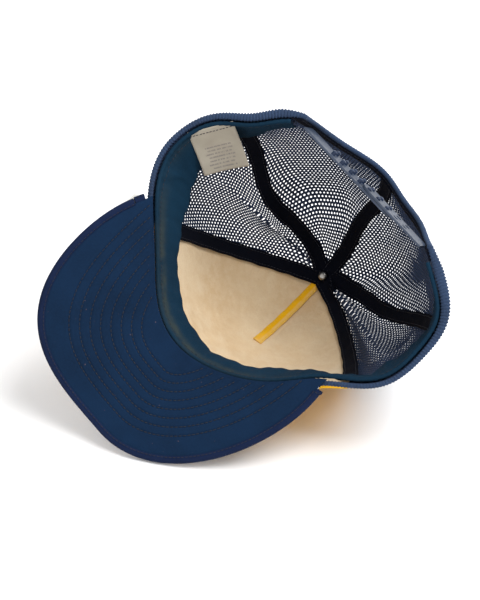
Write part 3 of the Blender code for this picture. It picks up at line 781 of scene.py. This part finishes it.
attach(gold_threads, "cap")

# --------------------------------------------------------------------------- sweatband
BAND_END = 180.0 - ARCH_HALF - 5.0


def sweatband():
    deg = np.linspace(-BAND_END, BAND_END, 420)[None, :]
    t = np.radians(deg)
    s = np.linspace(0, 1, 26)[:, None]
    high = 29.5 * MM + 1.2 * MM * np.sin(deg * 0.12) + 0.5 * MM * np.sin(deg * 0.41)
    high = high + 1.1 * MM * np.tanh((deg + 3.0) / 0.4)
    high = high - 12.0 * MM * np.clip((np.abs(deg) - 120) / 25, 0, 1)
    nz = wall_normal(t, 0.04 + 0 * t)[..., 2]
    low = 2.4 * MM + 2.6 * MM * nz
    lift = lift_at(low + (high - low) * s)
    t = np.broadcast_to(t, lift.shape)
    deg = np.broadcast_to(deg, lift.shape)
    lean = 9.0 * MM * s ** 1.3 * np.exp(-((deg - 72) / 27) ** 2)
    lean = lean + 3.0 * MM * s ** 1.3 * np.exp(-((deg - 10) / 40) ** 2)
    lean = lean + 6.5 * MM * s * np.exp(-((deg + 38) / 26) ** 2)
    pucker = 0.22 * MM * np.sin(deg * 1.9 + 2 * np.sin(deg * 0.31)) * np.exp(-s / 0.25)
    fold = 0.9 * MM * np.sin(deg * 0.33 + 2.5 * s) * s + 0.4 * MM * np.sin(deg * 0.9 + 5 * s) * s
    tuck = -1.4 * MM * np.exp(-((deg - 74 - 5 * s) / 2.6) ** 2) * np.exp(-((s - 0.35) / 0.3) ** 2)
    off = -2.9 * MM - lean - 0.9 * MM * np.sin(math.pi * s) ** 0.8 + pucker + fold * 0.6 + tuck
    near = shell(t, lift, off, wave=False)
    far = shell(t, lift, off + 1.1 * MM, wave=False)
    stain = np.exp(-((s - 0.22) / 0.14) ** 2) * np.exp(-((deg - 18) / 42) ** 2)
    stain = stain * 0.9 + 0.2 * np.exp(-((s - 0.1) / 0.1) ** 2)
    obj = slab("sweatband_cloth", near, far, MAT["sweat"], arc_uv(near), {"stain": stain})
    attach(obj, "cap")
    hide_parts("sweatband")
    k = 3
    row = (near[k], -wall_normal(t[k], lift[k]))
    return row


sweat_row = sweatband()


def rim_frame(deg, lift=0.0):
    t = np.radians(deg)
    n = wall_normal(t, lift + 0 * t)
    flat = n * np.array((1.0, 1.0, 0.0))
    return t, wall(t, 0 * t), unit(flat)


def edge_roll():
    deg = np.linspace(-BAND_END, BAND_END, 360)
    _, p, out = rim_frame(deg)
    up = np.tile((0.0, 0.0, 1.0), (len(deg), 1))
    path = p - out * 2.6 * MM + up * 1.0 * MM
    ribs = 1.0 + 0.07 * np.sin(deg * 2.1) + 0.05 * np.sin(deg * 5.3)
    obj = tube("sweatband_roll", path, out, up, MAT["sweat"], 1.35 * MM, 1.15 * MM, 12, ribs=ribs)
    a = obj.data.attributes.new("stain", "FLOAT", "POINT")
    v = np.repeat(0.25 * np.exp(-((deg - 18) / 50) ** 2), 12)
    a.data.foreach_set("value", v.astype(np.float32))
    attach(obj, "cap")
    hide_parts("sweatband_edge_roll")


edge_roll()
band_threads = stitches("sweatband_stitches", [sweat_row], MAT["thread"], 2.9 * MM, 2.1 * MM)
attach(band_threads, "cap")


# --------------------------------------------------------------------------- rim hems
def rim_hem(name, node, a, b):
    """Folded lower edge of the mesh, ribbed across by the knit."""
    deg = np.linspace(a, b, 560)
    t, p, out = rim_frame(deg)
    up = np.tile((0.0, 0.0, 1.0), (len(deg), 1))
    pitch = 2.0 * MM
    seg = run_length(p + out * 2.0 * MM + up * 0.4 * MM)
    full = 0.55 + 0.45 / (1.0 + np.exp(-(np.abs(deg) - 116.0) / 7.0))
    full = full * (1.0 - 0.45 * np.clip((np.abs(deg) - 138.0) / 9.0, 0, 1))
    path = p + out * (0.9 * MM + 1.6 * MM * full[:, None]) + up * 0.4 * MM
    ribs = full * (1.0 + 0.13 * np.sin(seg / pitch * TAU) + 0.06 * np.sin(seg / 0.031 + 1))
    obj = tube(name, path, out, up, MAT["hem"], 2.9 * MM, 1.5 * MM, 14, ribs=ribs)
    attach(obj, "cap")
    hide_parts(node)
    s = np.linspace(0, 1, 8)[:, None]
    tt = np.broadcast_to(t[None, :], (8, len(deg)))
    lift = lift_at(0.8 * MM + 8.5 * MM * s) + 0 * tt
    off = 1.15 * MM + 0.16 * MM * np.sin(seg / pitch * TAU)[None, :] + 0 * tt
    band = slab(name + "_fold", shell(tt, lift, 0.95 * MM + 0 * tt), shell(tt, lift, off + 0.5 * MM),
                MAT["hem"], arc_uv(shell(tt, lift, off)))
    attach(band, "cap")
    row = (shell(t, lift[6], 1.9 * MM), wall_normal(t, lift[6]))
    return row


HEM_END = 180.0 - ARCH_HALF
hem_rows = [rim_hem("rim_hem_left_fold", "rim_hem_left", SEAMS["front_left"], HEM_END),
            rim_hem("rim_hem_right_fold", "rim_hem_right", -HEM_END, SEAMS["front_right"] + 11.0)]
hem_threads = stitches("hem_stitches", hem_rows, MAT["thread"])
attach(hem_threads, "cap")


def arch_edges():
    beta = np.linspace(0.0, math.pi, 200)
    away = math.radians(ARCH_HALF) * np.cos(beta)
    t = math.pi - away
    z = ARCH_HEIGHT * np.sin(beta)
    lift = lift_at(z + 0.2 * MM)
    n = wall_normal(t, lift)
    edge = shell(t, lift, 0.6 * MM)
    along = unit(np.gradient(edge, axis=0))
    inward = unit(np.cross(along, n))
    inward = inward * np.sign((inward @ np.array((0, 0, 1.0))).sum())
    seg = run_length(edge)
    ribs = 1.0 + 0.12 * np.sin(seg / (2.0 * MM) * TAU)
    lip = tube("arch_lip", edge + n * 0.9 * MM, n, inward, MAT["hem"], 1.6 * MM, 1.9 * MM, 12,
               ribs=ribs)
    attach(lip, "cap")
    s = np.linspace(0, 1, 9)[:, None, None]
    grow = edge[None] + inward[None] * (8.5 * MM * s - 0.5 * MM)
    near = grow - n[None] * 1.7 * MM
    far = grow - n[None] * 0.6 * MM
    obj = slab("arch_binding_tape", near, far, MAT["tape"], arc_uv(near))
    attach(obj, "cap")
    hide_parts("arch_binding")
    return [(near[7], -n), (near[1], -n)]


arch_threads = stitches("arch_stitches", arch_edges(), MAT["thread"])
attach(arch_threads, "cap")


# ------------------------------------------------------------------------------- peak
BRIM_LEFT, BRIM_RIGHT, BRIM_REACH, BRIM_ROOT_Y = 0.0975, 0.0785, 0.1565, -0.032
SQUARE_LEFT, SQUARE_RIGHT, BRIM_STEP = 3.3, 2.0, 0.006
BRIM_TUCK_LEFT, BRIM_TUCK_RIGHT = 0.009, 0.0035
END_LEFT, END_RIGHT, BRIM_DROP, BRIM_BELOW = 64.0, 62.0, 0.018, 0.0032


def brim_point(u, v, inset=0.0):
    """Mid surface of the peak: u across (-1..1), v from the rim (0) to the edge (1)."""
    u, v = np.broadcast_arrays(np.asarray(u, float), np.asarray(v, float))
    left = u > 0
    end = np.where(left, END_LEFT, END_RIGHT)
    half = np.where(left, BRIM_LEFT, BRIM_RIGHT)
    square = np.where(left, SQUARE_LEFT, SQUARE_RIGHT)
    t = np.radians(end) * u * (1.0 - inset / 0.055)
    rx, ry = rim_xy(t)
    flat = unit(wall_normal(t, 0 * t) * np.array((1.0, 1.0, 0.0)))
    root = np.stack((rx, ry, 0 * rx), axis=-1) - flat * 0.0006
    ang = u * math.pi / 2
    side = np.sign(ang) * np.abs(np.sin(ang)) ** (2.0 / square)
    fore = np.abs(np.cos(ang)) ** (2.0 / square)
    reach = BRIM_REACH + BRIM_ROOT_Y - 2 * inset - BRIM_STEP
    tuck = np.where(left, BRIM_TUCK_LEFT, -BRIM_TUCK_RIGHT) * (1.0 - fore) ** 6
    tip = np.stack((side * (half - inset) - tuck,
                    BRIM_ROOT_Y - fore * reach - BRIM_STEP - inset, 0 * side), axis=-1)
    p = root + (tip - root) * v[..., None]
    away = np.sign(v) * np.linalg.norm(p - root, axis=-1) / (BRIM_REACH - FRONT)
    away = np.maximum(0.0, away)
    drop = np.where(left, BRIM_DROP, 0.0)
    p[..., 2] = -drop * (p[..., 0] / half) ** 2 * away ** 0.85 - BRIM_BELOW
    return p


def brim_normal(u, v, inset=0.0):
    u, v = np.broadcast_arrays(np.asarray(u, float), np.asarray(v, float))
    step = 0.003
    uu = np.clip(u, -0.93, 0.93)
    vv = np.clip(v, 0.01, 0.99)
    across = brim_point(uu + step, vv, inset) - brim_point(uu - step, vv, inset)
    along = brim_point(uu, vv + step, inset) - brim_point(uu, vv - step, inset)
    n = unit(np.cross(across, along))
    return n * np.sign(n[..., 2:3])


def outline_depth(p):
    """How far inside the outline a point of the peak lies, measured by nested outlines."""
    left = p[..., 0] > 0
    half = np.where(left, BRIM_LEFT, BRIM_RIGHT)
    square = np.where(left, SQUARE_LEFT, SQUARE_RIGHT)
    x = np.abs(p[..., 0])
    y = np.maximum(0.0, BRIM_ROOT_Y - p[..., 1])
    low = np.zeros(x.shape)
    high = np.full(x.shape, 0.078)
    for _ in range(24):
        d = (low + high) / 2
        f = (x / (half - d)) ** square + (y / (BRIM_REACH + BRIM_ROOT_Y - d)) ** square
        low = np.where(f < 1, d, low)
        high = np.where(f < 1, high, d)
    return low


ROWS = 14.5 * MM + 5.8 * MM * np.arange(8)


def brim_cloth(name, node, off0, off1, sign):
    u = np.sin(math.pi / 2 * np.linspace(-1, 1, 300))[None, :]
    v = np.linspace(-0.026 if sign < 0 else 0.0, 1, 120)[:, None]
    p = brim_point(u, v, 1.0 * MM)
    n = brim_normal(u, v, 1.0 * MM)
    depth = outline_depth(p)
    groove = np.exp(-((depth[..., None] - ROWS) / (0.70 * MM)) ** 2).sum(axis=-1)
    lump = 0.05 * MM * np.sin(p[..., 0] * 160) * np.sin(p[..., 1] * 140 + 1)
    fall = off1 - sign * 0.42 * MM * groove + sign * lump
    near = p + n * off0
    far = p + n * fall[..., None]
    obj = slab(name, near, far, MAT["brim"], arc_uv(near))
    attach(obj, "cap")
    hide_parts(node)
    return obj


brim_cloth("brim_cloth_under", "brim_under_fabric", -1.1 * MM, -1.75 * MM, -1)
brim_cloth("brim_cloth_top", "brim_top_fabric", 1.1 * MM, 1.75 * MM, 1)


def brim_rows(off):
    rows = []
    u = np.sin(math.pi / 2 * np.linspace(-1, 1, 400))
    vs = np.linspace(0, 1, 160)
    p = brim_point(u[None, :], vs[:, None], 1.0 * MM)
    depth = outline_depth(p)
    for d in ROWS:
        pts = []
        for j in range(len(u)):
            col = depth[:, j]
            if col[0] > d > col[-1]:
                v = np.interp(-d, -col, vs)
                pts.append((u[j], v))
        pts = np.array(pts)
        q = brim_point(pts[:, 0], pts[:, 1], 1.0 * MM)
        n = brim_normal(pts[:, 0], pts[:, 1], 1.0 * MM)
        rows.append((q + n * off, n * np.sign(off)))
    return rows


under_threads = stitches("brim_stitches_under", brim_rows(-1.50 * MM), MAT["thread"],
                        2.8 * MM, 2.3 * MM, 0.30 * MM)
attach(under_threads, "cap")
top_threads = stitches("brim_stitches_top", brim_rows(1.50 * MM), MAT["thread"],
                        2.8 * MM, 2.3 * MM, 0.30 * MM)
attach(top_threads, "cap")


def brim_edge():
    u = np.sin(math.pi / 2 * np.linspace(-1, 1, 420))
    edge = brim_point(u, 1.0 + 0 * u)
    inner = brim_point(u, 0.96 + 0 * u)
    n = brim_normal(u, 1.0 + 0 * u)
    along = unit(np.gradient(edge, axis=0))
    out = unit(np.cross(along, n))
    out = out * np.sign((out * (edge - inner)).sum(axis=1, keepdims=True))
    ang = np.linspace(-1, 1, 15) * math.radians(96)
    ring_out = np.cos(ang) * 2.2 * MM
    ring_n = np.sin(ang) * 2.25 * MM
    tail = np.array([-2.6, -1.2]) * MM
    outs = np.concatenate((tail, ring_out, tail[::-1]))
    norms = np.concatenate((np.full(2, -2.15 * MM), ring_n, np.full(2, 2.15 * MM)))
    wob = 0.10 * MM * np.sin(np.arange(len(u)) * 0.35)[:, None]
    outer = edge[:, None] + out[:, None] * (outs[None, :, None]) + n[:, None] * (
        norms[None, :, None] * (1 + wob[..., None] / MM * 0.4))
    shrink = 0.72
    core = edge[:, None] + out[:, None] * ((outs[None, :, None] - 0.2 * MM) * shrink) + n[:, None] * (
        norms[None, :, None] * shrink)
    core[:, :2] = outer[:, :2] + n[:, None] * 0.45 * MM
    core[:, -2:] = outer[:, -2:] - n[:, None] * 0.45 * MM
    obj = slab("brim_binding", core, outer, MAT["binding"], arc_uv(outer))
    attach(obj, "cap")
    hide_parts("brim_edge_binding")
    rows = []
    for s in (-1, 1):
        p = edge - out * 1.7 * MM + n * (2.2 * MM * s)
        rows.append((p, n * s))
    return rows


edge_threads = stitches("binding_stitches", brim_edge(), MAT["thread"], 2.6 * MM, 2.0 * MM, 0.22 * MM)
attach(edge_threads, "cap")

# ------------------------------------------------------------------------ button, rivet
def turned(name, rings, mat, sides=48):
    ang = np.arange(sides) / sides * TAU
    verts = np.array([(r * math.cos(a), r * math.sin(a), z) for r, z in rings for a in ang])
    faces = ring_faces(len(rings), sides)
    uv = np.array([(a * 8, z * 1000) for r, z in rings for a in ang])
    obj = new_object(name, world(verts), faces, mat, uv)
    if volume(obj.data) < 0:
        obj.data.flip_normals()
    return obj


def button():
    base = HEIGHT - 1.8 * MM
    lip = HEIGHT + 4.2 * MM
    rings = [(6.2 * MM, base), (6.2 * MM, lip - 0.4 * MM), (7.6 * MM, lip - 0.3 * MM)]
    for k in range(12):
        a = math.pi / 2 * k / 11.6
        rings.append((8.0 * MM * math.cos(a), lip + 4.0 * MM * math.sin(a)))
    cap = turned("button_cover", rings, MAT["binding"])
    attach(cap, "cap")
    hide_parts("crown_button")
    low = base - 4.6 * MM
    rings = [(0.4 * MM, low - 0.75 * MM), (1.3 * MM, low - 0.70 * MM), (2.1 * MM, low - 0.55 * MM),
             (2.6 * MM, low - 0.25 * MM), (2.95 * MM, low + 0.1 * MM), (3.1 * MM, low + 0.4 * MM),
             (2.95 * MM, low + 0.6 * MM), (2.0 * MM, low + 0.7 * MM), (2.0 * MM, base)]
    rivet = turned("rivet_dome", rings, MAT["metal"])
    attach(rivet, "cap")
    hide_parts("button_rivet")


button()

# ---------------------------------------------------------------------------- closure
STRAP_Y, HINGE_X, STRAP_H, STRAP_T, STRAP_LOW = 0.065, 0.052, 0.018, 0.0013, 0.003
PEG_PITCH, FIRST_PEG = 0.008, 0.024


def strap_solid(name, length, sign, y0, mat):
    """Flat strap with one round end, lying along X from its sewn end."""
    r = STRAP_H / 2
    outline = [(0.0, 0.0), (0.0, STRAP_H)]
    for k in range(17):
        a = math.pi / 2 - math.pi * k / 16
        outline.append((length - r + r * math.cos(a), r + r * math.sin(a)))
    bm = bmesh.new()
    vs = [bm.verts.new((sign * a, y0, b)) for a, b in outline]
    face = bm.faces.new(vs)
    ext = bmesh.ops.extrude_face_region(bm, geom=[face])
    bmesh.ops.translate(bm, vec=(0, STRAP_T, 0),
                        verts=[g for g in ext["geom"] if isinstance(g, bmesh.types.BMVert)])
    bmesh.ops.recalc_face_normals(bm, faces=bm.faces)
    mesh = bpy.data.meshes.new(name)
    bm.to_mesh(mesh)
    bm.free()
    obj = bpy.data.objects.new(name, mesh)
    bpy.context.scene.collection.objects.link(obj)
    mesh.materials.append(mat)
    return obj


def bar(name, radius, y0, y1, x, z, dome=0.0, sides=20):
    rings = [(radius, y0), (radius, y1)]
    if dome > 0:
        for k in range(1, 5):
            a = math.pi / 2 * k / 4.4
            rings.append((radius * math.cos(a), y1 + dome * math.sin(a)))
    ang = np.arange(sides) / sides * TAU
    verts = [(x + r * math.cos(a), y, z + r * math.sin(a)) for r, y in rings for a in ang]
    last = (len(rings) - 1) * sides
    faces = [(a, a + sides, b + sides, b) for a, b in ring_edges(len(rings), sides)]
    faces += [tuple(range(sides)), tuple(range(last, last + sides))[::-1]]
    mesh = bpy.data.meshes.new(name)
    mesh.from_pydata(verts, [], faces)
    mesh.update()
    obj = bpy.data.objects.new(name, mesh)
    bpy.context.scene.collection.objects.link(obj)
    return obj


def cut_or_add(obj, tool, operation):
    mod = obj.modifiers.new(tool.name, "BOOLEAN")
    mod.operation = operation
    mod.solver = "EXACT"
    mod.object = tool


def apply_all(obj):
    dg = bpy.context.evaluated_depsgraph_get()
    mesh = bpy.data.meshes.new_from_object(obj.evaluated_get(dg))
    obj.modifiers.clear()
    obj.data = mesh


def place_strap(obj, hinge):
    co = np.array([tuple(v.co) for v in obj.data.vertices])
    co[:, 1] += 0.15 * co[:, 2]
    co = co + np.array((hinge, STRAP_Y, STRAP_LOW))
    co = world(co)
    obj.data.vertices.foreach_set("co", co.astype(np.float32).ravel())
    obj.data.update()
    if volume(obj.data) < 0:
        obj.data.flip_normals()


def straps():
    peg_y, hole_y = -STRAP_T - 0.15 * MM, 0.15 * MM
    pegs = strap_solid("strap_with_pegs", 0.079, -1, peg_y, MAT["plastic"])
    holes = strap_solid("strap_with_holes", 0.0535, 1, hole_y, MAT["plastic"])
    tools = []
    for k in range(7):
        for dz in (-4.0 * MM, 4.0 * MM):
            b = bar("peg", 1.5 * MM, peg_y + 0.4 * MM, peg_y + 3.6 * MM, -FIRST_PEG - k * PEG_PITCH,
                    STRAP_H / 2 + dz, dome=0.7 * MM)
            tools.append((pegs, b, "UNION"))
    for k in range(5):
        for dz in (-4.0 * MM, 4.0 * MM):
            x = 2 * HINGE_X - FIRST_PEG - 4 * PEG_PITCH - k * PEG_PITCH
            b = bar("hole", 2.0 * MM, hole_y - 1 * MM, hole_y + STRAP_T + 1 * MM, x, STRAP_H / 2 + dz)
            tools.append((holes, b, "DIFFERENCE"))
    for target, tool, op in tools:
        cut_or_add(target, tool, op)
    for obj in (pegs, holes):
        bev = obj.modifiers.new("bevel", "BEVEL")
        bev.width = 0.25 * MM
        bev.segments = 2
        bev.limit_method = "ANGLE"
        bev.angle_limit = math.radians(50)
        apply_all(obj)
    for _, tool, _ in tools:
        bpy.data.objects.remove(tool, do_unlink=True)
    pegs.data.materials.append(MAT["peg"])
    for p in pegs.data.polygons:
        p.material_index = 1 if p.center.y > peg_y + STRAP_T + 0.1 * MM else 0
    place_strap(pegs, HINGE_X)
    place_strap(holes, -HINGE_X)
    for obj, body, node in ((pegs, "peg_strap", "snap_strap_pegs"),
                            (holes, "hole_strap", "snap_strap_holes")):
        for p in obj.data.polygons:
            p.use_smooth = False
        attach(obj, body)
        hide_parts(node)


straps()


# ------------------------------------------------------------------------------- label
def label():
    t = math.radians(107.0)
    n = wall_normal(np.array(t), np.array(0.0))
    flat = unit(n * np.array((1.0, 1.0, 0.0)))
    inset = (0.8 + 0.9 + 1.2 + 3.6) * MM
    origin = wall(np.array(t), lift_at(4.0 * MM)) - flat * inset
    across = np.array((-flat[1], flat[0], 0.0))
    lean = math.radians(42.0)
    down = -flat * math.sin(lean) + np.array((0, 0, 1.0)) * math.cos(lean)
    face = unit(np.cross(across, down))
    if face @ (-flat) < 0:
        face = -face
    s = np.linspace(-1, 1, 25)[None, :]
    d = np.linspace(-0.12, 0.84, 31)[:, None]
    lift_off = 3.2 * MM * np.maximum(0, d) ** 2.2 - 0.9 * MM * np.sin(math.pi * d)
    lift_off = lift_off + 1.5 * MM * s ** 2 * d + 0.7 * MM * s * d
    pos = (origin + across * (s * 15.0 * MM)[..., None] + down * (d * 36.0 * MM)[..., None]
           + face * lift_off[..., None])
    uv = np.stack(np.broadcast_arrays(-s * 15.0, 2.0 + d * 36.0), axis=-1)
    n2 = unit(np.cross(np.gradient(pos, axis=1), np.gradient(pos, axis=0)))
    n2 = n2 * np.sign((n2 @ face))[..., None]
    obj = slab("label_cloth", pos - n2 * 0.2 * MM, pos + n2 * 0.2 * MM, MAT["label"], uv)
    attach(obj, "label")
    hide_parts("care_label")
    row = (pos[3] + n2[3] * 0.22 * MM, n2[3])
    th = stitches("label_stitches", [row], MAT["thread"], 2.2 * MM, 1.8 * MM)
    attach(th, "label")


label()


# ------------------------------------------------------------- board finish and the set
def board_material():
    g = Graph("board_card")
    coord = g.place()
    n = g.noise(coord, 200.0, 4.0)
    g.link(g.mix(n, (0.60, 0.60, 0.56), (0.78, 0.77, 0.73)), g.bsdf.inputs["Base Color"])
    g.set(Roughness=0.7)
    g.link(g.bump(n, 0.2, 0.0003), g.bsdf.inputs["Normal"])
    return g.mat


for o in bpy.data.objects:
    if o.name.startswith("brim_board"):
        for s in o.material_slots:
            s.material = board_material()


def floor():
    mesh = bpy.data.meshes.new("floor")
    r = 6.0
    mesh.from_pydata([(-r, -r, -0.0004), (r, -r, -0.0004), (r, r, -0.0004), (-r, r, -0.0004)], [],
                     [(0, 1, 2, 3)])
    obj = bpy.data.objects.new("floor", mesh)
    bpy.context.scene.collection.objects.link(obj)
    g = Graph("studio_floor")
    coord = g.place()
    n = g.noise(coord, 3.0, 2.0)
    g.link(g.mix(n, (0.93, 0.93, 0.94), (0.95, 0.95, 0.95)), g.bsdf.inputs["Base Color"])
    g.set(Roughness=0.9, Specular_IOR_Level=0.1)
    mesh.materials.append(g.mat)


floor()


def area_light(name, location, target, size, power, colour=(1.0, 1.0, 1.0)):
    data = bpy.data.lights.new(name, "AREA")
    data.shape = "RECTANGLE"
    data.size = size[0]
    data.size_y = size[1]
    data.energy = power
    data.color = colour
    obj = bpy.data.objects.new(name, data)
    obj.location = location
    aim = Vector(target) - Vector(location)
    obj.rotation_euler = aim.to_track_quat("-Z", "Y").to_euler()
    bpy.context.scene.collection.objects.link(obj)


area_light("key", (0.5, 0.7, 1.5), (0, 0, 0.05), (1.1, 1.1), 34.0)
area_light("fill", (0.9, -1.2, 0.9), (0, 0, 0.05), (1.4, 1.0), 6.0)
area_light("back", (-1.2, 0.3, 0.9), (0, 0, 0.05), (1.4, 1.0), 10.0)
w = bpy.data.worlds.new("studio")
w.use_nodes = True
w.node_tree.nodes["Background"].inputs[0].default_value = (1.0, 1.0, 1.0, 1.0)
w.node_tree.nodes["Background"].inputs[1].default_value = 0.50
bpy.context.scene.world = w
bpy.context.scene.view_settings.view_transform = "Standard"

camera = bpy.data.cameras.new("camera")
camera.sensor_width = 36.0
camera.lens = 102.0
camera.clip_start = 0.05
cam = bpy.data.objects.new("camera", camera)
fwd = Vector((-0.7645, 0.3075, -0.5670)).normalized()
right = fwd.cross(Vector((0, 0, 1))).normalized()
up = right.cross(fwd)
cam.matrix_world = Matrix.Translation((0.8206, -0.3314, 0.6821)) @ Matrix(
    (right, up, -fwd)).transposed().to_4x4()
bpy.context.scene.collection.objects.link(cam)
bpy.context.scene.camera = cam
